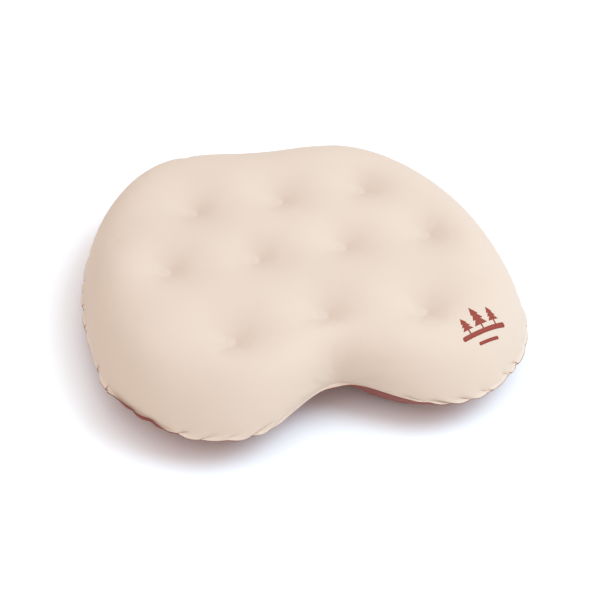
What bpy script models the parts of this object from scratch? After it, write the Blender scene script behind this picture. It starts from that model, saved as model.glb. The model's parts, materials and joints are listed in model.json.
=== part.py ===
# Camp pillow: two coated fabric panels welded round a flange, ten inner ties that
# pull the dimples in, and a flat two-stage air valve at the back of the underside.
# +X runs along the pillow, -Y towards the neck recess, +Z up; the origin is on the
# floor under the middle.

import math

import bmesh
import bpy
import numpy as np
from mathutils import Matrix, Vector
from mathutils.geometry import delaunay_2d_cdt

# Air cell, in metres
height = 0.104
seam_height = 0.044
flange_width = 0.005
rounding = 0.047
wall = 0.001
gap = 0.0003

# Half of the outline, from the middle of the back round the end to the neck recess
half_outline = (
    (0.0, 0.202), (0.122, 0.190), (0.216, 0.0835), (0.240, -0.050),
    (0.217, -0.1475), (0.080, -0.206), (0.0, -0.1596),
)
outline_count = 72
side_angles = (0.0, 22.5, 45.0, 67.5, 90.0)
lattice_pitch = 0.020

# Dimples, one pair for each tie: rows from the back to the front
dimple_rows = (
    ((-0.099, 0.0875), (0.0, 0.0875), (0.099, 0.0875)),
    ((-0.1465, -0.004), (-0.0488, -0.004), (0.0488, -0.004), (0.1465, -0.004)),
    ((-0.1025, -0.1205), (0.0, -0.1026), (0.1025, -0.1205)),
)
dimple_floor = 0.0085
dimple_radius = 0.030
top_dimple_depth = 0.015
bottom_dimple_depth = 0.007
patch_radius = 0.007
patch_thickness = 0.001
tie_width = 0.010
tie_tab = 0.012
tie_thickness = 0.0006

# Valve, along its own axis from the outer face of the panel, outward positive
hole_radius = 0.0123
facet_radius = 0.0185
facet_clear_x = 0.028
base_radius = 0.0170
tube_radius = 0.0118
bore_radius = 0.0094
tube_top = 0.0025
base_bottom = -(wall + gap + 0.001)
plug_top_radius = 0.0089
plug_end_radius = 0.0083
plug_end = -0.0022
head_radius = 0.0125
head_low = 0.0036
head_high = 0.0048
nozzle_bore = 0.0043
nozzle_radius = 0.0056
nozzle_high = 0.0056
cap_low = nozzle_high + gap
cap_high = cap_low + 0.0012
cap_radius = 0.0063
plug_hinge = (0.0156, 0.0033)
cap_hinge = (0.0092, 0.0062)
turn_steps = 24

top_rise = height - seam_height - wall - gap / 2
bottom_drop = seam_height - wall - gap / 2


def clear_scene():
    for item in list(bpy.data.objects):
        bpy.data.objects.remove(item)


def material(name, colour, roughness, metallic=0.0):
    made = bpy.data.materials.new(name)
    made.use_nodes = True
    shader = made.node_tree.nodes["Principled BSDF"]
    shader.inputs["Base Color"].default_value = (*colour, 1.0)
    shader.inputs["Roughness"].default_value = roughness
    shader.inputs["Metallic"].default_value = metallic
    return made


def add_object(name, shape, finish, parent=None, place=(0.0, 0.0, 0.0)):
    # The mesh is given in its parent's frame; the object's origin goes to place.
    mesh = bpy.data.meshes.new(name)
    shape.to_mesh(mesh)
    shape.free()
    mesh.transform(Matrix.Translation(-Vector(place)))
    item = bpy.data.objects.new(name, mesh)
    bpy.context.scene.collection.objects.link(item)
    item.location = place
    item.parent = parent
    mesh.materials.append(finish)
    mesh.shade_smooth()
    mesh.set_sharp_from_angle(angle=math.radians(35))
    return item


def add_tool(owner, shape, operation):
    # A hidden helper that is joined to its owner's body or cut out of it.
    mesh = bpy.data.meshes.new(owner.name + "_tool")
    shape.to_mesh(mesh)
    shape.free()
    mesh.transform(Matrix.Translation(-owner.location))
    tool = bpy.data.objects.new(owner.name + "_tool", mesh)
    bpy.context.scene.collection.objects.link(tool)
    tool.location = owner.location
    tool.parent = owner.parent
    tool.hide_render = True
    tool.display_type = "WIRE"
    change = owner.modifiers.new(operation.lower(), "BOOLEAN")
    change.operation = operation
    change.solver = "EXACT"
    change.object = tool


def closed_spline(points, count):
    # A closed cubic spline through the points, with count even steps along it.
    p = np.array(points)
    size = len(p)
    step = np.linalg.norm(np.roll(p, -1, 0) - p, axis=1)
    system = np.zeros((size, size))
    right = np.zeros((size, 2))
    for i in range(size):
        before, after = i - 1, (i + 1) % size
        system[i, before] += step[before]
        system[i, i] += 2 * (step[before] + step[i])
        system[i, after] += step[i]
        right[i] = 6 * ((p[after] - p[i]) / step[i] - (p[i] - p[before]) / step[before])
    bend = np.linalg.solve(system, right)
    start = np.concatenate(([0.0], np.cumsum(step)))
    result = []
    for s in np.arange(count) * start[-1] / count:
        i = min(int(np.searchsorted(start, s, side="right")) - 1, size - 1)
        after, h = (i + 1) % size, step[i]
        a, b = (start[i + 1] - s) / h, (s - start[i]) / h
        curve = (a**3 - a) * bend[i] + (b**3 - b) * bend[after]
        result.append(a * p[i] + b * p[after] + curve * h * h / 6)
    return np.array(result)


def pillow_outline():
    mirrored = [(-x, y) for x, y in half_outline[-2:0:-1]]
    return closed_spline(list(half_outline) + mirrored, outline_count)


outline = pillow_outline()
centre_y = (outline[:, 1].max() + outline[:, 1].min()) / 2
outline[:, 1] -= centre_y
dimples = [(x, y - centre_y) for row in dimple_rows for x, y in row]


def inward_normals(loop):
    # The outline runs clockwise seen from above, so the inside is on its right.
    along = np.roll(loop, -1, 0) - np.roll(loop, 1, 0)
    along /= np.linalg.norm(along, axis=1)[:, None]
    return np.stack((along[:, 1], -along[:, 0]), axis=1)


def edge_distance(point):
    start = outline
    along = np.roll(outline, -1, 0) - start
    t = np.sum((point - start) * along, axis=1) / np.sum(along * along, axis=1)
    nearest = start + np.clip(t, 0, 1)[:, None] * along
    return np.linalg.norm(nearest - point, axis=1).min()


def is_inside(point, loop):
    inside = False
    for (ax, ay), (bx, by) in zip(loop, np.roll(loop, -1, 0)):
        if (ay > point[1]) != (by > point[1]):
            if point[0] < ax + (point[1] - ay) / (by - ay) * (bx - ax):
                inside = not inside
    return inside


def dimple_depth(point):
    # Share of the full depth: 1 over the flat floor, 0 outside the dimple.
    away = min(math.dist(point, centre) for centre in dimples)
    t = (dimple_radius - away) / (dimple_radius - dimple_floor)
    t = min(max(t, 0.0), 1.0)
    return t * t * (3 - 2 * t)


def side_inset(angle):
    return flange_width + rounding * (1 - math.cos(math.radians(angle)))


def rise_share(inset):
    t = min(max((inset - flange_width) / rounding, 0.0), 1.0)
    return math.sqrt(1 - (1 - t) ** 2)


# Valve frame: a flat facet between the flange and the resting face, at the back.
# Its plane goes through one point just under the flange and one low on the side.
facet_high = (flange_width + 0.0003, bottom_drop - 0.0013)
facet_low = (side_inset(60.0), bottom_drop * (1 - math.sin(math.radians(60.0))))
back_y = outline[:, 1].max()
facet_top = Vector((0.0, back_y - facet_high[0], facet_high[1]))
facet_end = Vector((0.0, back_y - facet_low[0], facet_low[1]))
facet_centre = (facet_top + facet_end) / 2
facet_up = (facet_top - facet_end).normalized()
facet_side = Vector((-1.0, 0.0, 0.0))
facet_out = facet_side.cross(facet_up)


def facet_point(radius, angle):
    across = facet_side * math.cos(angle) + facet_up * math.sin(angle)
    return facet_centre + across * radius


def is_on_facet(point):
    x, y = point
    away = (y - facet_centre.y) / (facet_radius * facet_up.y * 1.15)
    return (x / facet_clear_x) ** 2 + away**2 < 1


def panel_sheet(rise, base, dimple, has_valve):
    # Rings that follow the outline, circles round the dimples and a lattice between
    # them are joined in plan; rise, base and dimple set the height of each point.
    normals = inward_normals(outline)
    insets = [0.0] + [side_inset(angle) for angle in side_angles]
    points, heights, edges = [], [], []

    def add_point(xy, inset, z=None):
        level = base + rise * rise_share(inset) - dimple * dimple_depth(xy)
        points.append((float(xy[0]), float(xy[1])))
        heights.append(level if z is None else z)
        return len(points) - 1

    for number, inset in enumerate(insets):
        ring = []
        for corner, normal in zip(outline, normals):
            xy = corner + normal * inset
            is_cut = has_valve and number > 1 and is_on_facet(xy)
            ring.append(None if is_cut else add_point(xy, inset))
        for a, b in zip(ring, ring[1:] + ring[:1]):
            if a is not None and b is not None:
                edges.append((a, b))
    last_inset = insets[-1]
    for centre in dimples:
        add_point(centre, last_inset)
        for radius, count in ((dimple_floor, 8), (0.015, 9), (0.022, 10), (dimple_radius, 12)):
            for step in range(count):
                angle = 2 * math.pi * (step + 0.25) / count
                mirrored = math.copysign(1.0, centre[0])
                x = centre[0] + radius * math.cos(angle) * mirrored
                xy = (x, centre[1] + radius * math.sin(angle))
                if edge_distance(xy) > last_inset + 0.003:
                    add_point(xy, last_inset)
    row_step = lattice_pitch * math.sqrt(3) / 2
    for row in range(-12, 13):
        for column in range(-14, 15):
            xy = ((column + row % 2 / 2) * lattice_pitch, row * row_step)
            away = min(math.dist(xy, centre) for centre in dimples)
            if away < dimple_radius + 0.007 or not is_inside(xy, outline):
                continue
            if edge_distance(xy) > last_inset + 0.008:
                add_point(xy, last_inset)
    hole = []
    if has_valve:
        for radius, count in ((hole_radius, turn_steps), (facet_radius, 18)):
            for step in range(count):
                spot = facet_point(radius, 2 * math.pi * step / count)
                index = add_point((spot.x, spot.y), last_inset, spot.z)
                if radius == hole_radius:
                    hole.append(index)
        edges += list(zip(hole, hole[1:] + hole[:1]))

    coords = [Vector(p) for p in points]
    made, _, faces, origin, _, _ = delaunay_2d_cdt(coords, edges, [], 0, 1e-7)
    sheet = bmesh.new()
    corners = []
    for place, sources in zip(made, origin):
        corners.append(sheet.verts.new((place.x, place.y, heights[sources[0]])))
    opening = [points[i] for i in hole]
    for face in faces:
        middle = sum((made[i] for i in face), Vector((0.0, 0.0))) / 3
        if not is_inside(middle, outline) or (hole and is_inside(middle, opening)):
            continue
        sheet.faces.new([corners[i] for i in (face if rise > 0 else face[::-1])])
    return sheet


def add_panel(name, finish, rise, base, dimple, has_valve):
    sheet = panel_sheet(rise, base, dimple, has_valve)
    item = add_object(name, sheet, finish)
    thick = item.modifiers.new("thickness", "SOLIDIFY")
    thick.thickness = wall
    thick.offset = -1.0
    thick.use_even_offset = True
    return item


def turned(profile, closed, steps=turn_steps):
    # A profile of (radius, height) turned round the valve axis. A closed profile
    # makes a ring; an open one starts and ends on the axis.
    shape = bmesh.new()
    corners = [shape.verts.new((r, 0.0, z)) for r, z in profile]
    pairs = list(zip(corners, corners[1:]))
    if closed:
        pairs.append((corners[-1], corners[0]))
    edges = [shape.edges.new(pair) for pair in pairs]
    bmesh.ops.spin(
        shape, geom=corners + edges, axis=(0, 0, 1), cent=(0, 0, 0),
        angle=2 * math.pi, steps=steps, use_merge=True, use_duplicate=False,
    )
    bmesh.ops.remove_doubles(shape, verts=shape.verts, dist=1e-6)
    bmesh.ops.recalc_face_normals(shape, faces=shape.faces)
    return shape


def block(low, high):
    shape = bmesh.new()
    bmesh.ops.create_cube(shape, size=1.0)
    size = Vector(high) - Vector(low)
    bmesh.ops.scale(shape, vec=size, verts=shape.verts)
    bmesh.ops.translate(shape, vec=(Vector(high) + Vector(low)) / 2, verts=shape.verts)
    return shape


def extruded(profile, width, along_x):
    # A closed profile in the plane of one cross direction and Z, made width wide.
    shape = bmesh.new()
    corners = []
    for across, z in profile:
        place = (-width / 2, across, z) if along_x else (across, -width / 2, z)
        corners.append(shape.verts.new(place))
    face = shape.faces.new(corners)
    grown = bmesh.ops.extrude_face_region(shape, geom=[face])
    moved = [v for v in grown["geom"] if isinstance(v, bmesh.types.BMVert)]
    step = (width, 0, 0) if along_x else (0, width, 0)
    bmesh.ops.translate(shape, vec=step, verts=moved)
    bmesh.ops.recalc_face_normals(shape, faces=shape.faces)
    return shape


def disc(radius, low, high, centre, steps=16):
    shape = turned(((0.0, high), (radius, high), (radius, low), (0.0, low)), False, steps)
    bmesh.ops.translate(shape, vec=(*centre, 0.0), verts=shape.verts)
    return shape


def add_ties(film, webbing):
    # Each tie is an I of flat webbing between a welded patch on either panel.
    top_inner = height - top_dimple_depth - wall
    bottom_inner = bottom_dimple_depth + wall
    for number, centre in enumerate(dimples, start=1):
        upper = (top_inner - gap - patch_thickness, top_inner - gap)
        lower = (bottom_inner + gap, bottom_inner + gap + patch_thickness)
        add_object(f"upper_patch_{number:02d}", disc(patch_radius, *upper, centre), film)
        add_object(f"lower_patch_{number:02d}", disc(patch_radius, *lower, centre), film)
        high, low = upper[0] - gap, lower[1] + gap
        t, w = tie_thickness, tie_tab / 2
        profile = (
            (-w, high), (-w, high - t), (-t / 2, high - t), (-t / 2, low + t),
            (-w, low + t), (-w, low), (w, low), (w, low + t),
            (t / 2, low + t), (t / 2, high - t), (w, high - t), (w, high),
        )
        tie = extruded(profile, tie_width, True)
        bmesh.ops.translate(tie, vec=(*centre, 0.0), verts=tie.verts)
        add_object(f"tether_{number:02d}", tie, webbing)


def hinge_strap(start, pivot, low, high):
    # A flat strip that curls over its hinge line: positive across is away from the axis.
    outer, inner = high - pivot[1], low - pivot[1]
    profile = [(start, low), (start, high), (pivot[0], high)]
    for angle in (60, 30, 0, -30):
        a = math.radians(angle)
        profile.append((pivot[0] + outer * math.cos(a), pivot[1] + outer * math.sin(a)))
    for angle in (-30, 0, 30, 60):
        a = math.radians(angle)
        profile.append((pivot[0] + inner * math.cos(a), pivot[1] + inner * math.sin(a)))
    profile.append((pivot[0], low))
    return profile


def add_valve_base(frame, finish):
    profile = (
        (bore_radius, tube_top), (tube_radius, tube_top), (tube_radius, base_bottom + 0.001),
        (base_radius, base_bottom + 0.001), (base_radius, base_bottom), (bore_radius, base_bottom),
    )
    item = add_object("valve_base", turned(profile, True), finish, frame)
    ear = block((-0.003, bore_radius + 0.001, 0.0005), (0.003, plug_hinge[0] + 0.001, 0.0018))
    add_tool(item, ear, "UNION")


def add_deflate_plug(frame, finish):
    pivot = (0.0, *plug_hinge)
    profile = (
        (nozzle_bore, nozzle_high), (nozzle_radius, nozzle_high), (nozzle_radius, head_high),
        (head_radius, head_high), (head_radius, head_low), (plug_top_radius, head_low),
        (plug_top_radius, tube_top), (plug_end_radius, plug_end), (nozzle_bore, plug_end),
    )
    item = add_object("deflate_plug", turned(profile, True), finish, frame, pivot)
    hub = turned(
        ((0.0014, -0.0012), (0.0024, -0.0012), (0.0024, plug_end), (0.0014, plug_end)), True, 12
    )
    add_tool(item, hub, "UNION")
    for number in range(3):
        spoke = block((0.0018, -0.0005, plug_end + 0.0001), (nozzle_bore + 0.001, 0.0005, -0.0013))
        turn = Matrix.Rotation(math.radians(120 * number + 90), 3, "Z")
        bmesh.ops.rotate(spoke, cent=(0, 0, 0), matrix=turn, verts=spoke.verts)
        add_tool(item, spoke, "UNION")
    pull_tab = block((-0.004, -head_radius - 0.003, head_low), (0.004, -head_radius + 0.001, head_high))
    add_tool(item, pull_tab, "UNION")
    post = block((cap_hinge[0] - 0.0006, -0.002, head_high - 0.0005), (cap_hinge[0] + 0.0008, 0.002, 0.0051))
    add_tool(item, post, "UNION")


def add_plug_seal(frame, finish):
    low, high = tube_top + gap, head_low - gap
    profile = ((0.0095, high), (0.0113, high), (0.0113, low), (0.0095, low))
    add_object("plug_seal", turned(profile, True), finish, frame, (0.0, *plug_hinge))


def add_plug_strap(frame, finish):
    profile = hinge_strap(head_radius + gap, plug_hinge, head_low + 0.0001, head_high - 0.0003)
    strap = extruded(profile, 0.005, True)
    add_object("plug_strap", strap, finish, frame, (0.0, *plug_hinge))


def add_check_flap(frame, finish):
    profile = (
        (0.0, 0.0013), (0.0012, 0.0013), (0.0019, 0.0009), (0.0019, 0.0003),
        (0.0009, 0.0003), (0.0009, plug_end - gap), (0.0054, plug_end - gap),
        (0.0054, plug_end - gap - 0.0005), (0.0, plug_end - gap - 0.0006),
    )
    add_object("check_flap", turned(profile, False), finish, frame)


def add_inflation_cap(frame, finish):
    pivot = (cap_hinge[0], 0.0, cap_hinge[1])
    profile = (
        (0.0, cap_high), (cap_radius - 0.0004, cap_high), (cap_radius, cap_high - 0.0004),
        (cap_radius, cap_low), (0.0037, cap_low), (0.0034, 0.0029), (0.0, 0.0029),
    )
    item = add_object("inflation_cap", turned(profile, False), finish, frame, pivot)
    lift_tab = block((-cap_radius - 0.0027, -0.002, cap_low), (-cap_radius + 0.001, 0.002, cap_high - 0.0003))
    add_tool(item, lift_tab, "UNION")


def add_cap_strap(frame, finish):
    profile = hinge_strap(cap_radius + gap, cap_hinge, cap_hinge[1] + 0.0002, cap_hinge[1] + 0.0008)
    strap = extruded(profile, 0.0035, False)
    add_object("cap_strap", strap, finish, frame, (cap_hinge[0], 0.0, cap_hinge[1]))


def add_valve():
    frame = bpy.data.objects.new("valve_frame", None)
    bpy.context.scene.collection.objects.link(frame)
    axes = Matrix((facet_side, facet_up, facet_out)).transposed()
    frame.matrix_world = Matrix.Translation(facet_centre) @ axes.to_4x4()
    soft = material("valve_soft_plastic", (0.62, 0.57, 0.52), 0.45)
    stiff = material("valve_plug_plastic", (0.55, 0.50, 0.45), 0.4)
    rubber = material("valve_rubber", (0.75, 0.74, 0.72), 0.5)
    add_valve_base(frame, soft)
    add_deflate_plug(frame, stiff)
    add_plug_seal(frame, rubber)
    add_plug_strap(frame, soft)
    add_check_flap(frame, rubber)
    add_inflation_cap(frame, stiff)
    add_cap_strap(frame, soft)


def main():
    clear_scene()
    beige = material("beige_fabric", (0.84, 0.73, 0.63), 0.85)
    terracotta = material("terracotta_fabric", (0.36, 0.13, 0.09), 0.85)
    film = material("weld_film", (0.80, 0.78, 0.74), 0.5)
    webbing = material("tie_webbing", (0.82, 0.80, 0.76), 0.8)
    top_base = seam_height + gap / 2 + wall
    bottom_base = seam_height - gap / 2 - wall
    add_panel("top_panel", beige, top_rise, top_base, top_dimple_depth, False)
    add_panel("bottom_panel", terracotta, -bottom_drop, bottom_base, -bottom_dimple_depth, True)
    add_ties(film, webbing)
    add_valve()


main()
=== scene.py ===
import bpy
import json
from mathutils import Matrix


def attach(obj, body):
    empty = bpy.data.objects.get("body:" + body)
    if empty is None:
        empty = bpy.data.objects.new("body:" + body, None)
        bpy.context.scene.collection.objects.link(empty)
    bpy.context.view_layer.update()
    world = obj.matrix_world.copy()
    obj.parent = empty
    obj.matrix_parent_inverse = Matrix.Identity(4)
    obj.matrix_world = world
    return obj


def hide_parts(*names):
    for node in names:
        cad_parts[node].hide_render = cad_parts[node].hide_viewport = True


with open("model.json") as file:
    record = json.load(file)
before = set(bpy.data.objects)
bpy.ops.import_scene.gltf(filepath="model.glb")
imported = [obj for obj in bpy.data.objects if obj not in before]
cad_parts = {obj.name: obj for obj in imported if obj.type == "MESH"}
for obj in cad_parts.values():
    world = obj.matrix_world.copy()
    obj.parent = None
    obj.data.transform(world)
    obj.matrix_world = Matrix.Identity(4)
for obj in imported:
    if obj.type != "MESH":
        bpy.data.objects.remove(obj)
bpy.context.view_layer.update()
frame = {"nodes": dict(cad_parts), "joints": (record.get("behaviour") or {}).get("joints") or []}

import json
import math

import bmesh
import bpy
import numpy as np
from mathutils import Matrix, Vector
from mathutils.bvhtree import BVHTree
from mathutils.geometry import delaunay_2d_cdt

scene = bpy.context.scene

view = {
    "azimuth": -17.17,
    "elevation": 43.76,
    "roll": 3.2,
    "distance": 1.4236,
    "lens": 74.7,
    "aim": (0.0, 0.0048, 0.0),
    "right": 0.0074,         # how far the middle of the view lies right of the aim, and above it
    "above": 0.0118,
}


def addCamera():
    azimuth, elevation = math.radians(view["azimuth"]), math.radians(view["elevation"])
    back = Vector((math.sin(azimuth) * math.cos(elevation),
                   -math.cos(azimuth) * math.cos(elevation), math.sin(elevation)))
    level = Vector((math.cos(azimuth), math.sin(azimuth), 0.0))
    turn = Matrix.Rotation(math.radians(view["roll"]), 3, back)
    right, up = turn @ level, turn @ back.cross(level)
    place = Vector(view["aim"]) + back * view["distance"]
    middle = Vector(view["aim"]) + right * view["right"] + up * view["above"]
    look = (place - middle).normalized()
    across = up.cross(look).normalized()
    data = bpy.data.cameras.new("pillowCamera")
    data.lens = view["lens"]
    data.sensor_width = 36.0
    camera = bpy.data.objects.new("pillowCamera", data)
    scene.collection.objects.link(camera)
    turned = Matrix((across, look.cross(across), look)).transposed().to_4x4()
    camera.matrix_world = Matrix.Translation(place) @ turned
    scene.camera = camera


lighting = {
    "key": {"place": (1.4, -0.5, 1.9), "size": 1.5, "power": 40.0, "colour": (0.58, 0.82, 1.0)},
    "top": {"place": (-0.3, -0.5, 2.2), "size": 2.2, "power": 17.0, "colour": (0.68, 0.85, 1.0)},
}
ambient = {"colour": (1.0, 0.91, 0.86, 1.0), "strength": 0.93}


def addLights():
    for name, one in lighting.items():
        data = bpy.data.lights.new(name, "AREA")
        data.energy, data.size, data.color = one["power"], one["size"], one["colour"]
        light = bpy.data.objects.new(name, data)
        scene.collection.objects.link(light)
        light.location = one["place"]
        light.rotation_euler = (-Vector(one["place"])).to_track_quat("-Z", "Y").to_euler()
    world = bpy.data.worlds.new("studio")
    world.use_nodes = True
    sky = world.node_tree.nodes["Background"]
    sky.inputs["Color"].default_value = ambient["colour"]
    sky.inputs["Strength"].default_value = ambient["strength"]
    scene.world = world
    scene.view_settings.view_transform = "Standard"


def addFloor():
    mesh = bpy.data.meshes.new("floor")
    mesh.from_pydata([(-6, -6, 0), (6, -6, 0), (6, 6, 0), (-6, 6, 0)], [], [(0, 1, 2, 3)])
    floor = bpy.data.objects.new("floor", mesh)
    scene.collection.objects.link(floor)
    mesh.materials.append(plainFinish("floorPaint", (0.93, 0.93, 0.93), 0.95))


def plainFinish(name, colour, roughness):
    made = bpy.data.materials.new(name)
    made.use_nodes = True
    shader = made.node_tree.nodes["Principled BSDF"]
    shader.inputs["Base Color"].default_value = (*colour, 1.0)
    shader.inputs["Roughness"].default_value = roughness
    return made


def addNode(tree, kind, links=None, **values):
    made = tree.nodes.new(kind)
    for name, value in values.items():
        setattr(made, name, value)
    for name, source in (links or {}).items():
        if hasattr(source, "is_linked"):
            tree.links.new(source, made.inputs[name])
        else:
            made.inputs[name].default_value = source
    return made


def mixed(tree, factor, first, second):
    made = addNode(tree, "ShaderNodeMix", data_type="RGBA")
    tree.links.new(factor, made.inputs["Factor"])
    for name, value in (("A", first), ("B", second)):
        socket = next(one for one in made.inputs if one.name == name and one.type == "RGBA")
        if hasattr(value, "is_linked"):
            tree.links.new(value, socket)
        else:
            socket.default_value = (*value, 1.0)
    return next(one for one in made.outputs if one.type == "RGBA")


def ramp(tree, source, low, high):
    made = addNode(tree, "ShaderNodeMapRange", {"Value": source, "From Min": low, "From Max": high})
    return made.outputs["Result"]


def toned(colour, factor):
    return tuple(min(1.0, channel * factor) for channel in colour)


# woven cloth reads the flat cut's own coordinates, in metres, so the weave follows the surface
cloths = {
    "beigeFabric": {"colour": (0.615, 0.49, 0.395), "thread": 0.0005, "rib": 0.0, "rough": 0.86,
                    "sheen": 0.1, "depth": 0.00008},
    "terracottaFabric": {"colour": (0.21, 0.034, 0.02), "thread": 0.0006, "rib": 0.005, "rough": 0.62,
                         "sheen": 0.1, "depth": 0.0001},
    # painted highlight: the welded edge's colour is a little lighter than the beige cloth, for the light
    # that the flat, glossy weld catches
    "weldedEdge": {"colour": (0.63, 0.505, 0.41), "thread": 0.0005, "rib": 0.0015, "rough": 0.5,
                   # painted shade, partly the underside's colour: the dark terracotta that the free edge
                   # and the pinched places are darkened to
                   "sheen": 0.0, "depth": 0.00006, "undersideAndShade": (0.24, 0.09, 0.06)},
    "terracottaEdge": {"colour": (0.21, 0.034, 0.02), "thread": 0.0006, "rib": 0.0015, "rough": 0.5,
                       "sheen": 0.0, "depth": 0.00006},
    "markInk": {"colour": (0.25, 0.035, 0.018), "thread": 0.0005, "rib": 0.0, "rough": 0.6, "sheen": 0.0,
                "depth": 0.00005},
}


def wovenFinish(name):
    cloth = cloths[name]
    made = plainFinish(name, cloth["colour"], cloth["rough"])
    tree = made.node_tree
    shader = tree.nodes["Principled BSDF"]
    shader.inputs["Sheen Weight"].default_value = cloth["sheen"]
    shader.inputs["Sheen Roughness"].default_value = 0.5
    shader.inputs["Specular IOR Level"].default_value = 0.3
    place = addNode(tree, "ShaderNodeUVMap", uv_map="cut").outputs["UV"]
    pitch = 1 / cloth["thread"] / 20 * 3.1416
    warp = addNode(tree, "ShaderNodeTexWave", {"Vector": place, "Scale": pitch, "Distortion": 0.6,
                                               "Detail": 0.0}, bands_direction="X")
    weft = addNode(tree, "ShaderNodeTexWave", {"Vector": place, "Scale": pitch, "Distortion": 0.6,
                                               "Detail": 0.0}, bands_direction="Y")
    weave = addNode(tree, "ShaderNodeMath", {0: warp.outputs["Fac"], 1: weft.outputs["Fac"]},
                    operation="MAXIMUM").outputs["Value"]
    heather = addNode(tree, "ShaderNodeTexNoise", {"Vector": place, "Scale": 900.0, "Detail": 2.0})
    cloud = addNode(tree, "ShaderNodeTexNoise", {"Vector": place, "Scale": 9.0, "Detail": 3.0})
    tone = mixed(tree, ramp(tree, heather.outputs["Fac"], 0.3, 0.7), toned(cloth["colour"], 0.965),
                 toned(cloth["colour"], 1.03))
    tone = mixed(tree, ramp(tree, cloud.outputs["Fac"], 0.25, 0.95), tone, toned(cloth["colour"], 0.93))
    height = weave
    if cloth["rib"]:
        ribs = []
        for direction in ("X", "Y"):
            wave = addNode(tree, "ShaderNodeTexWave", {"Vector": place, "Detail": 0.0, "Distortion": 0.0,
                                                       "Scale": 3.1416 / cloth["rib"] / 20},
                           bands_direction=direction)
            ribs.append(ramp(tree, wave.outputs["Fac"], 0.9, 1.0))
        grid = addNode(tree, "ShaderNodeMath", {0: ribs[0], 1: ribs[1]}, operation="MAXIMUM")
        rib = grid.outputs["Value"]
        tone = mixed(tree, rib, tone, toned(cloth["colour"], 1.12))
        height = addNode(tree, "ShaderNodeMath", {0: weave, 1: rib}, operation="ADD").outputs["Value"]
    if "undersideAndShade" in cloth:
        # painted shade: the free edge and the pinched places of the welded edge are darkened towards dark
        # terracotta, for the shade in the folds and partly for the terracotta underside that shows there
        undersideAndShade = addNode(tree, "ShaderNodeAttribute", attribute_name="undersideAndShade").outputs["Fac"]
        tone = mixed(tree, ramp(tree, undersideAndShade, 0.76, 0.94), tone, cloth["undersideAndShade"])
    tree.links.new(tone, shader.inputs["Base Color"])
    bump = addNode(tree, "ShaderNodeBump", {"Height": height, "Strength": 0.5, "Distance": cloth["depth"]})
    tree.links.new(bump.outputs["Normal"], shader.inputs["Normal"])
    addRoughness(tree, cloud.outputs["Fac"], cloth["rough"] - 0.05, cloth["rough"] + 0.05)
    return made


def addRoughness(tree, source, low, high):
    made = addNode(tree, "ShaderNodeMapRange", {"Value": source, "To Min": low, "To Max": high})
    tree.links.new(made.outputs["Result"], tree.nodes["Principled BSDF"].inputs["Roughness"])


# moulded and welded pieces of the inside and the valve
mouldings = {
    "weld_film": {"colour": (0.62, 0.57, 0.50), "rough": 0.35, "grain": 260.0, "depth": 0.00004},
    "tie_webbing": {"colour": (0.50, 0.45, 0.40), "rough": 0.8, "grain": 1400.0, "depth": 0.0001},
    "valve_soft_plastic": {"colour": (0.23, 0.085, 0.06), "rough": 0.46, "grain": 420.0, "depth": 0.00003},
    "valve_plug_plastic": {"colour": (0.17, 0.06, 0.045), "rough": 0.36, "grain": 600.0, "depth": 0.00002},
    "valve_rubber": {"colour": (0.10, 0.095, 0.09), "rough": 0.6, "grain": 900.0, "depth": 0.00003},
}


def mouldedFinish(name):
    part = mouldings[name]
    made = plainFinish(name, part["colour"], part["rough"])
    tree = made.node_tree
    shader = tree.nodes["Principled BSDF"]
    place = addNode(tree, "ShaderNodeTexCoord").outputs["Object"]
    grain = addNode(tree, "ShaderNodeTexNoise", {"Vector": place, "Scale": part["grain"], "Detail": 3.0})
    cloud = addNode(tree, "ShaderNodeTexNoise", {"Vector": place, "Scale": 70.0, "Detail": 2.0})
    tone = mixed(tree, ramp(tree, cloud.outputs["Fac"], 0.3, 0.7), toned(part["colour"], 0.93),
                 toned(part["colour"], 1.06))
    tree.links.new(tone, shader.inputs["Base Color"])
    addRoughness(tree, grain.outputs["Fac"], part["rough"] - 0.06, part["rough"] + 0.08)
    bump = addNode(tree, "ShaderNodeBump", {"Height": grain.outputs["Fac"], "Strength": 0.4,
                                            "Distance": part["depth"]})
    tree.links.new(bump.outputs["Normal"], shader.inputs["Normal"])
    return made


def finishCadNodes():
    made = {}
    for node in frame["nodes"]:
        piece = bpy.data.objects[node]
        for spot in piece.material_slots:
            slotName = spot.material.name.split(".")[0] if spot.material else ""
            if slotName in mouldings:
                if slotName not in made:
                    made[slotName] = mouldedFinish(slotName)
                spot.material = made[slotName]
    print("finishes on the inside and valve pieces:", sorted(made))


# the air cell: two flat panels welded round the rim and blown up; the rim is given seen from
# above, clockwise from the back middle
airCell = {
    "outline": ((0.0, 0.217), (0.124, 0.202), (0.220, 0.091), (0.243, -0.045), (0.221, -0.142),
                (0.083, -0.206), (0.0, -0.160), (-0.080, -0.202), (-0.216, -0.144),
                (-0.240, -0.045), (-0.222, 0.096), (-0.130, 0.215)),
    "ties": ((-0.099, 0.0923), (0.0, 0.0923), (0.099, 0.0923),
             (-0.1465, 0.0008), (-0.0488, 0.0008), (0.0488, 0.0008), (0.1465, 0.0008),
             (-0.1025, -0.1157), (0.0, -0.0978), (0.1025, -0.1157)),
    "flange": 0.005,
    "seam": 0.044,
    "weldCount": 900,
    "tieRadius": 0.0065,
    "fieldSpacing": 0.0085,
    "rimSpacing": 0.0024,
    "rimGrowth": 1.15,
    "rimDepth": 0.036,
    "cloth": 0.00035,
    "splineSteps": 60,       # between each two points of the outline
    "flangeRows": (0.5, 1.0),
}
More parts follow.
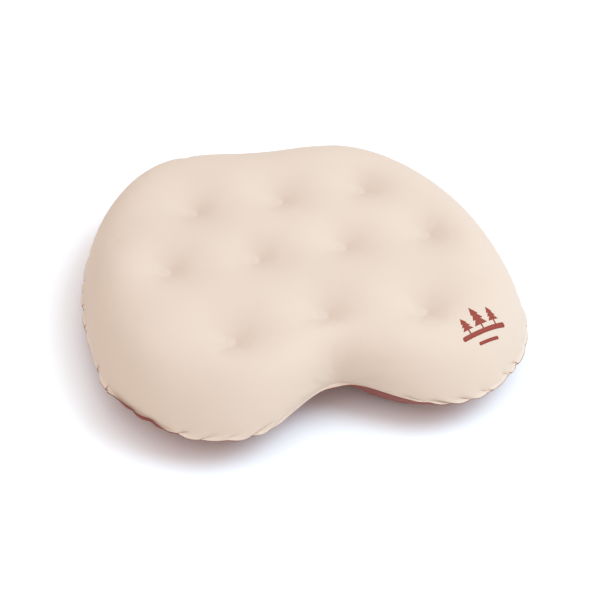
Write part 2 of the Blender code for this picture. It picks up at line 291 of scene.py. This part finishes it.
# for each point of the outline, how far the flat cut reaches past the rim of the blown pillow
panels = {
    "top": {"slack": 1.042, "pressure": 400.0, "tieHeight": 0.089, "crown": 0.100,
            "reach": (0.044, 0.044, 0.042, 0.038, 0.036, 0.028, 0.050, 0.028, 0.036, 0.038,
                      0.044, 0.046)},
    "bottom": {"slack": 1.01, "pressure": 180.0, "tieHeight": 0.007, "crown": 0.002,
               "reach": (0.018, 0.012, 0.008, 0.006, 0.006, 0.0045, 0.003, 0.006, 0.012, 0.011,
                         0.010, 0.012)},
}
blowing = {
    "frames": 24,
    "mass": 0.01,
    "tension": 40.0,
    "compression": 50.0,
    "bending": 0.2,
    "damping": 5.0,
}
# how far the welded edge hangs down, in degrees, at places along the weld, in metres clockwise
# from the back middle; a negative angle stands up, as over the valve and at the left front,
# where the underside shows
droop = ((0.0, -50), (0.045, -50), (0.08, 35), (0.2, 50), (0.5, 50), (0.6, 20), (0.65, -5), (0.73, 0),
         (0.79, 20), (0.84, 25), (0.92, 30), (0.94, 10), (0.958, -80), (1.02, -80), (1.04, 30),
         (1.1, 55), (1.3, 60), (1.44, 35), (1.48, -50))
# the places where the welded edge is gathered into creases, measured in the same way
creases = {
    "places": (0.21, 0.226, 0.543, 0.562, 0.596, 0.62, 0.642, 0.664, 0.846, 0.867, 0.916, 0.977,
               1.001, 1.041, 1.071, 1.132, 1.163, 1.21, 1.254, 1.29, 1.333, 1.372, 1.393),
    "depth": (0.0022, 0.0048),
    "width": (0.0014, 0.0024),
    "pitch": (0.022, 0.036),
}


def closedSpline(points):
    # a closed cubic spline, with the same number of steps between each two of its points
    perSide = airCell["splineSteps"]
    p = np.array(points, float)
    size = len(p)
    step = np.linalg.norm(np.roll(p, -1, 0) - p, axis=1)
    system, right = np.zeros((size, size)), np.zeros((size, 2))
    for i in range(size):
        before, after = i - 1, (i + 1) % size
        system[i, before] += step[before]
        system[i, i] += 2 * (step[before] + step[i])
        system[i, after] += step[i]
        right[i] = 6 * ((p[after] - p[i]) / step[i] - (p[i] - p[before]) / step[before])
    bend = np.linalg.solve(system, right)
    b = np.tile(np.arange(perSide) / perSide, size)[:, None]
    a = 1 - b
    i = np.repeat(np.arange(size), perSide)
    after, h = (i + 1) % size, step[i][:, None]
    return a * p[i] + b * p[after] + ((a**3 - a) * bend[i] + (b**3 - b) * bend[after]) * h * h / 6


def loopRun(loop):
    closed = np.vstack((loop, loop[:1]))
    return closed, np.concatenate(([0.0], np.cumsum(np.linalg.norm(np.diff(closed, axis=0), axis=1))))


def pointsAlong(loop, places):
    closed, run = loopRun(loop)
    return np.stack([np.interp(places % run[-1], run, closed[:, k]) for k in range(loop.shape[1])], axis=1)


def loopInward(loop):
    # the loops run clockwise seen from above, so the inside is on the right
    along = np.roll(loop, -1, 0) - np.roll(loop, 1, 0)
    along /= np.linalg.norm(along, axis=1)[:, None]
    return np.stack((along[:, 1], -along[:, 0]), axis=1)


def offsetLoop(loop, inset):
    return loop + loopInward(loop) * inset


def loopDistance(points, loop):
    best = np.full(len(points), 9.0)
    for a, d in zip(loop, np.roll(loop, -1, 0) - loop):
        t = np.clip((points - a) @ d / (d @ d), 0, 1)
        best = np.minimum(best, np.linalg.norm(points - a - t[:, None] * d, axis=1))
    return best


def insideLoop(points, loop):
    inside = np.zeros(len(points), bool)
    for (ax, ay), (bx, by) in zip(loop, np.roll(loop, -1, 0)):
        crosses = (ay > points[:, 1]) != (by > points[:, 1])
        if by != ay:
            inside ^= crosses & (points[:, 0] < ax + (points[:, 1] - ay) / (by - ay) * (bx - ax))
    return inside


outline = closedSpline(airCell["outline"])
ties = np.array(airCell["ties"])
weldLine = offsetLoop(outline, airCell["flange"])


def creasedWeld():
    # the weld of the blown pillow: the rim drawn in by a row of short creases
    rng = np.random.default_rng(11)
    count = 6000
    _, run = loopRun(weldLine)
    length = run[-1]
    places = np.arange(count) * length / count
    line = pointsAlong(weldLine, places)
    inward = loopInward(line)
    spots = sorted(creases["places"])
    free, place = [], 0.0
    while place < length - creases["pitch"][0]:
        free.append(place)
        place += rng.uniform(*creases["pitch"])
    neck = length / 2
    gaps = [one for one in free if all(abs(one - other) > 0.016 for other in spots)]
    spots = sorted(spots + [one for one in gaps if abs(one - neck) > 0.075])
    pull, lift = np.zeros(count), np.zeros(count)
    for one in spots:
        away = np.abs((places - one + length / 2) % length - length / 2)
        deep, wide = rng.uniform(*creases["depth"]), rng.uniform(*creases["width"])
        pull += deep * np.exp(-away / wide) - 0.25 * deep * np.exp(-((away / 0.010 - 1) ** 2) * 2)
        lift += rng.uniform(-0.0012, 0.0012) * np.exp(-((away / 0.006) ** 2))
    for wave in range(3, 22):
        phase = rng.uniform(0, 2 * math.pi)
        lift += 0.00022 * np.sin(2 * math.pi * wave * places / length + phase)
    full = np.column_stack((line + inward * pull[:, None], airCell["seam"] + lift))
    closed, creasedRun = loopRun(full)
    even = np.arange(airCell["weldCount"]) * creasedRun[-1] / airCell["weldCount"]
    knots = np.interp(run[:-1:airCell["splineSteps"]], np.append(places, length), creasedRun)
    return pointsAlong(full, even), even, np.append(knots, creasedRun[-1])


weld, weldPlaces, weldKnots = creasedWeld()

valve = {
    "hole": 0.0123,
    "facet": 0.0185,
    "fromWeld": 0.027,       # along the cloth, from the weld line to the valve's middle
}
joints = {joint["name"]: joint for joint in frame["joints"]}
valveOut = -Vector(joints["flap_lift"]["axis"]).normalized()
valveUp = Vector(joints["cap_swing"]["axis"]).normalized()
valveSide = valveUp.cross(valveOut)
plugHinge = (0.0156, 0.0033)
valveMiddle = Vector(joints["plug_swing"]["pos_m"]) - valveUp * plugHinge[0] - valveOut * plugHinge[1]


def circlePoints(centre, rings):
    points = []
    for number, (radius, count) in enumerate(rings):
        angles = (np.arange(count) + number % 2 / 2) * 2 * math.pi / count
        points.append(centre + radius * np.stack((np.cos(angles), np.sin(angles)), axis=1))
    return np.vstack(points)


def flatPanel(panel):
    # the flat cut of one panel and the points of its mesh: rows that follow the weld, finest
    # at the weld, circles round each tie and the valve, and an even field between them
    reach = np.array(panel["reach"])[:, None] - airCell["flange"]
    steps = airCell["splineSteps"]
    cut = closedSpline(outline[::steps] - loopInward(outline)[::steps] * reach)
    _, run = loopRun(cut)
    edge = pointsAlong(cut, np.interp(weldPlaces, weldKnots, np.append(run[:-1:steps], run[-1])))
    spots = ties * panel["slack"]
    valveSpot = np.array((0.0, cut[0, 1] - valve["fromWeld"]))
    rows, depth, step = [edge], 0.0, airCell["rimSpacing"]
    while depth < airCell["rimDepth"]:
        depth += step
        step *= airCell["rimGrowth"]
        loop = offsetLoop(cut, depth)
        _, run = loopRun(loop)
        count = int(run[-1] / (step * 1.1))
        rows.append(pointsAlong(loop, (np.arange(count) + len(rows) % 2 / 2) * run[-1] / count))
    pitch = airCell["fieldSpacing"]
    grid = np.array([((c + r % 2 / 2) * pitch, r * pitch * 0.866)
                     for r in range(-46, 46) for c in range(-46, 46)])
    grid = grid[insideLoop(grid, cut)]
    away = np.min(np.linalg.norm(grid[:, None] - spots[None], axis=2), axis=1)
    grid = grid[(loopDistance(grid, cut) > depth + step * 0.6) & (away > 0.030)]
    tieRings = ((0.0, 1), (0.0033, 6), (airCell["tieRadius"], 12), (0.0095, 16), (0.013, 18),
                (0.0175, 20), (0.0225, 22), (0.028, 24))
    circles = [circlePoints(centre, tieRings) for centre in spots]
    if panel is panels["bottom"]:
        valveRings = ((0.0, 1), (0.004, 6), (0.008, 14), (valve["hole"], 24), (0.0153, 24),
                      (valve["facet"], 28), (0.022, 30))
        rows[1:] = [row[np.linalg.norm(row - valveSpot, axis=1) > 0.0242] for row in rows[1:]]
        circles.append(circlePoints(valveSpot, valveRings))
    flat = np.vstack(rows + [grid] + circles)
    size = len(edge)
    edges = [(i, (i + 1) % size) for i in range(size)]
    made, _, faces, origin, _, _ = delaunay_2d_cdt([Vector(q) for q in flat], edges, [], 0, 1e-7)
    order = np.array([sources[0] for sources in origin])
    triangles = order[np.array(faces)]
    return flat, triangles[insideLoop(flat[triangles].mean(axis=1), edge)], spots, valveSpot


def loopRadius(angles, loop):
    t = np.arctan2(loop[:, 1], loop[:, 0])
    order = np.argsort(t)
    t, r = t[order], np.linalg.norm(loop, axis=1)[order]
    return np.interp(angles, np.r_[t - 2 * math.pi, t, t + 2 * math.pi], np.r_[r, r, r])


def firstGuess(panel, flat, spots, size):
    # a plain dome over the outline, which the cloth then settles from
    angles, radius = np.arctan2(flat[:, 1], flat[:, 0]), np.linalg.norm(flat, axis=1)
    cutRadius, blownRadius = loopRadius(angles, flat[:size]), loopRadius(angles, weldLine)
    share = np.clip(radius / cutRadius, 0, 1)
    spread = cutRadius / (panel["slack"] * blownRadius)
    straight = 0.6
    drawn = spread * share - (spread - 1) / (1 - straight) ** 2 * np.clip(share - straight, 0, 1) ** 2
    plan = np.stack((np.cos(angles), np.sin(angles)), axis=1) * (drawn * blownRadius)[:, None]
    away = np.linalg.norm(flat[:, None] - spots[None], axis=2)
    near, away = away.argmin(axis=1), away.min(axis=1)
    held = away < airCell["tieRadius"] + 1e-5
    plan[held] = ties[near[held]] + flat[held] - spots[near[held]]
    rise = np.sin(np.clip((1 - share) * cutRadius / 0.075, 0, 1) * math.pi / 2)
    dip = np.clip((0.032 - away) / (0.032 - airCell["tieRadius"]), 0, 1)
    height = airCell["seam"] + (panel["crown"] - airCell["seam"]) * rise
    height += (panel["tieHeight"] - height) * dip
    start = np.column_stack((plan, height))
    start[:size] = weld
    held[:size] = True
    return start, held


def blowPanel(panel):
    flat, triangles, spots, valveSpot = flatPanel(panel)
    size, total = airCell["weldCount"], len(flat)
    start, held = firstGuess(panel, flat, spots, size)
    faces = triangles
    if panel is panels["bottom"]:
        onValve = np.linalg.norm(flat - valveSpot, axis=1) < valve["facet"] + 1e-5
        across = flat[onValve] - valveSpot
        start[onValve] = [valveMiddle + valveUp * y - valveSide * x for x, y in across]
        held |= onValve
        faces = triangles[:, ::-1]
    mesh = bpy.data.meshes.new("panelCloth")
    mesh.from_pydata(start.tolist(), [], faces.tolist())
    cloth = bpy.data.objects.new("panelCloth", mesh)
    scene.collection.objects.link(cloth)
    cloth.shape_key_add(name="blown")
    flatShape = cloth.shape_key_add(name="flat")
    flatShape.data.foreach_set("co", np.column_stack((flat, np.zeros(total))).astype(np.float32).ravel())
    cloth.vertex_groups.new(name="held").add(np.flatnonzero(held).tolist(), 1.0, "REPLACE")
    blow = cloth.modifiers.new("blow", "CLOTH")
    blow.collision_settings.use_collision = False
    blow.point_cache.frame_start, blow.point_cache.frame_end = 1, blowing["frames"] + 5
    use = blow.settings
    use.quality, use.mass, use.air_damping = 5, blowing["mass"], 1.0
    use.tension_stiffness, use.compression_stiffness = blowing["tension"], blowing["compression"]
    use.shear_stiffness, use.bending_stiffness = 5.0, blowing["bending"]
    use.tension_damping = use.compression_damping = use.shear_damping = blowing["damping"]
    use.use_pressure, use.uniform_pressure_force = True, panel["pressure"]
    use.vertex_group_mass, use.rest_shape_key = "held", flatShape
    use.effector_weights.gravity = 0.0
    for number in range(1, blowing["frames"] + 1):
        scene.frame_set(number)
    settled = cloth.evaluated_get(bpy.context.evaluated_depsgraph_get())
    points = np.zeros(total * 3)
    settled.data.vertices.foreach_get("co", points)
    bpy.data.objects.remove(cloth)
    scene.frame_set(1)
    return points.reshape(-1, 3), flat, faces, valveSpot


def meshPiece(name, points, faces):
    mesh = bpy.data.meshes.new(name)
    mesh.from_pydata([tuple(p) for p in points], [], [tuple(int(i) for i in f) for f in faces])
    mesh.update()
    mesh.shade_smooth()
    piece = bpy.data.objects.new(name, mesh)
    scene.collection.objects.link(piece)
    return piece


def weldTangents(points, faces, size):
    # for each point of the weld, the way the cloth leaves it
    near, count = np.zeros((size, 3)), np.zeros(size)
    for face in faces[(faces < size).any(axis=1)]:
        inner = [i for i in face if i >= size]
        for i in face:
            if i < size and inner:
                near[i] += points[inner].mean(axis=0)
                count[i] += 1
    leave = near / np.maximum(count, 1)[:, None] - points[:size]
    return leave / np.linalg.norm(leave, axis=1)[:, None]


def smoothLoop(values, passes):
    for _ in range(passes):
        values = (np.roll(values, 1, 0) + 2 * values + np.roll(values, -1, 0)) / 4
    return values


def addSkins():
    blown = {side: blowPanel(panels[side]) for side in ("top", "bottom")}
    size = airCell["weldCount"]
    outward = -sum(weldTangents(points, faces, size) for points, _, faces, _ in blown.values())
    outward = smoothLoop(outward, 60) * (1, 1, 0)
    outward /= np.linalg.norm(outward, axis=1)[:, None]
    length = loopRun(weldLine)[1][-1]
    run = weldPlaces * length / weldKnots[-1]
    places, angles = np.array(droop).T
    drop = np.radians(smoothLoop(np.interp(run, places, angles, period=length), 40))[:, None]
    # the pinched places, where painted shade darkens the welded edge
    pinch = np.exp(-((run[:, None] - np.array(creases["places"])) / 0.0022) ** 2).max(axis=1)
    outward = outward * np.cos(drop) - np.sin(drop) * (0, 0, 1)
    even = smoothLoop(weld, 24)
    drawn = ((even - weld) * outward).sum(axis=1)[:, None]
    edge = even + outward * (airCell["flange"] - 0.8 * np.clip(drawn, 0, None))
    face = np.cross(np.roll(even, -1, 0) - np.roll(even, 1, 0), outward)
    face /= np.linalg.norm(face, axis=1)[:, None]
    skins = []
    for side, up, finishes in (("top", 1.0, ("beigeFabric", "weldedEdge")),
                               ("bottom", -1.0, ("terracottaFabric", "terracottaEdge"))):
        points, flat, faces, valveSpot = blown[side]
        if side == "bottom":
            # the underside flattens where it rests on the floor
            soft = 0.0015
            low = points[:, 2] < 0.02
            points[low, 2] = soft * np.log1p(np.exp(points[low, 2] / soft))
            middles = flat[faces].mean(axis=1)
            faces = faces[np.linalg.norm(middles - valveSpot, axis=1) > valve["hole"] * 0.97]
        print(side, "skin", points.min(axis=0).round(4), points.max(axis=0).round(4), len(faces), "faces")
        layer = face * up * (airCell["cloth"] + 0.00005)
        rings = [weld + (edge - weld) * share + layer for share in airCell["flangeRows"]]
        points = np.vstack([points] + rings)
        points[:size] += layer
        faces = [tuple(one) for one in faces]
        inner = np.arange(size)
        for number in range(len(rings)):
            outer = len(flat) + number * size + np.arange(size)
            for i in range(size):
                j = (i + 1) % size
                quad = (inner[i], inner[j], outer[j], outer[i])
                faces.append(quad[::-1] if up > 0 else quad)
            inner = outer
        used, order = np.unique(np.concatenate(faces), return_inverse=True)
        starts = np.cumsum([0] + [len(one) for one in faces])
        skin = meshPiece(side + "Skin", points[used], [order[a:b] for a, b in zip(starts, starts[1:])])
        away = -loopInward(flat[:size])
        cutRings = [flat[:size] + away * airCell["flange"] * share for share in airCell["flangeRows"]]
        cutPlaces = np.vstack([flat] + cutRings)
        addCutMap(skin, cutPlaces[used])
        inside = np.zeros(len(flat) - size)
        # painted shade, partly the underside's colour: the pinched places and the free outer row of the
        # welded edge are marked for darkening
        undersideAndShade = np.concatenate((pinch, inside, np.maximum(pinch, 0.5), np.ones(size)))
        undersideAndShadeLayer = skin.data.attributes.new("undersideAndShade", "FLOAT", "POINT")
        undersideAndShadeLayer.data.foreach_set("value", undersideAndShade[used].astype(np.float32))
        for polygon in skin.data.polygons:
            polygon.material_index = int(len(polygon.vertices) == 4)
        for name in finishes:
            skin.data.materials.append(wovenFinish(name))
        faceOutward(skin, up)
        thick = skin.modifiers.new("cloth", "SOLIDIFY")
        thick.thickness, thick.offset = airCell["cloth"], -1.0
        smooth = skin.modifiers.new("smooth", "SUBSURF")
        smooth.levels = smooth.render_levels = 1
        skins.append(skin)
    return skins


def addCutMap(piece, places):
    layer = piece.data.uv_layers.new(name="cut")
    corners = np.zeros(len(piece.data.loops), dtype=np.int64)
    piece.data.loops.foreach_get("vertex_index", corners)
    layer.data.foreach_set("uv", np.asarray(places, np.float32)[corners].ravel())


def faceOutward(piece, up):
    cell = bmesh.new()
    cell.from_mesh(piece.data)
    bmesh.ops.recalc_face_normals(cell, faces=cell.faces)
    highest = max(cell.faces, key=lambda one: one.calc_center_median().z * up)
    if highest.normal.z * up < 0:
        bmesh.ops.reverse_faces(cell, faces=cell.faces)
    cell.to_mesh(piece.data)
    cell.free()


# a plain printed mark near the right end: three pines on a bar, with a shorter bar below
mark = {
    "centre": (0.157, -0.157),
    "turn": 22.0,
    "pines": ((-0.018, 0.020, 0.014), (0.0, 0.027, 0.017), (0.018, 0.020, 0.014)),
    "foot": 0.006,
    "bars": ((0.0, 0.0, 0.060, 0.0042), (0.0, -0.0085, 0.028, 0.0026)),
    "lift": 0.00012,
    "grid": 0.0009,
}


def markShapes():
    shapes = []
    for x, high, wide in mark["pines"]:
        foot = mark["foot"]
        for number in range(3):
            low = foot + (high - foot) * number * 0.27
            top = foot + (high - foot) * (0.46 + number * 0.27)
            half = wide / 2 * (1 - 0.22 * number)
            shapes.append([(x - half, low), (x + half, low), (x, top)])
        shapes.append([(x - 0.0009, 0.0), (x + 0.0009, 0.0), (x + 0.0009, foot), (x - 0.0009, foot)])
    for x, y, long, tall in mark["bars"]:
        ends = []
        for side, turn in ((1, -90), (-1, 90)):
            for step in range(7):
                angle = math.radians(turn + step * 30)
                ends.append((x + side * (long - tall) / 2 + tall / 2 * math.cos(angle),
                             y + tall / 2 * math.sin(angle)))
        shapes.append(ends)
    return shapes


def addMark(skin):
    # the shapes are filled with a fine mesh and laid on the blown cloth
    shapes = [np.array(shape) for shape in markShapes()]
    step = mark["grid"]
    grid = np.array([(c * step, r * step) for r in range(-20, 40) for c in range(-40, 41)])
    inside = np.zeros(len(grid), bool)
    points, edges = [], []
    for shape in shapes:
        loop, run = loopRun(shape)
        count = max(len(shape), int(run[-1] / step))
        edge = np.unique(np.concatenate((np.arange(count) * run[-1] / count, run[:-1])))
        edge = pointsAlong(shape, edge)
        edges += [(len(points) + i, len(points) + (i + 1) % len(edge)) for i in range(len(edge))]
        points += list(edge)
        inside |= insideLoop(grid, shape) & (loopDistance(grid, shape) > step * 0.4)
    points += list(grid[inside])
    made, _, faces, _, _, _ = delaunay_2d_cdt([Vector(q) for q in points], edges, [], 0, 1e-6)
    made = np.array([tuple(q) for q in made])
    faces = np.array(faces)
    middles = made[faces].mean(axis=1)
    filled = np.zeros(len(faces), bool)
    for shape in shapes:
        filled |= insideLoop(middles, shape)
    faces = faces[filled]
    surface = BVHTree.FromObject(skin, bpy.context.evaluated_depsgraph_get())
    laid = []
    turn = Matrix.Rotation(math.radians(mark["turn"]), 2)
    for x, y in made:
        across, along = turn @ Vector((x, y))
        start = Vector((mark["centre"][0] + across, mark["centre"][1] + along, 0.3))
        spot, normal, _, _ = surface.ray_cast(start, Vector((0, 0, -1)))
        laid.append(spot + normal * mark["lift"])
    used, order = np.unique(faces, return_inverse=True)
    piece = meshPiece("printedMark", np.array(laid)[used], order.reshape(-1, 3))
    addCutMap(piece, made[used])
    piece.data.materials.append(wovenFinish("markInk"))
    faceOutward(piece, 1.0)
    thick = piece.modifiers.new("ink", "SOLIDIFY")
    thick.thickness, thick.offset = 0.0001, -1.0
    print("printed mark", len(faces), "faces")
    return piece


addCamera()
addLights()
addFloor()
finishCadNodes()
topSkin, bottomSkin = addSkins()
printedMark = addMark(topSkin)
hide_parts("top_panel")
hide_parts("bottom_panel")
for piece, name in ((topSkin, "beige_fabric"), (bottomSkin, "terracotta_fabric"),
                    (printedMark, "print_ink")):
    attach(piece, "air_cell")
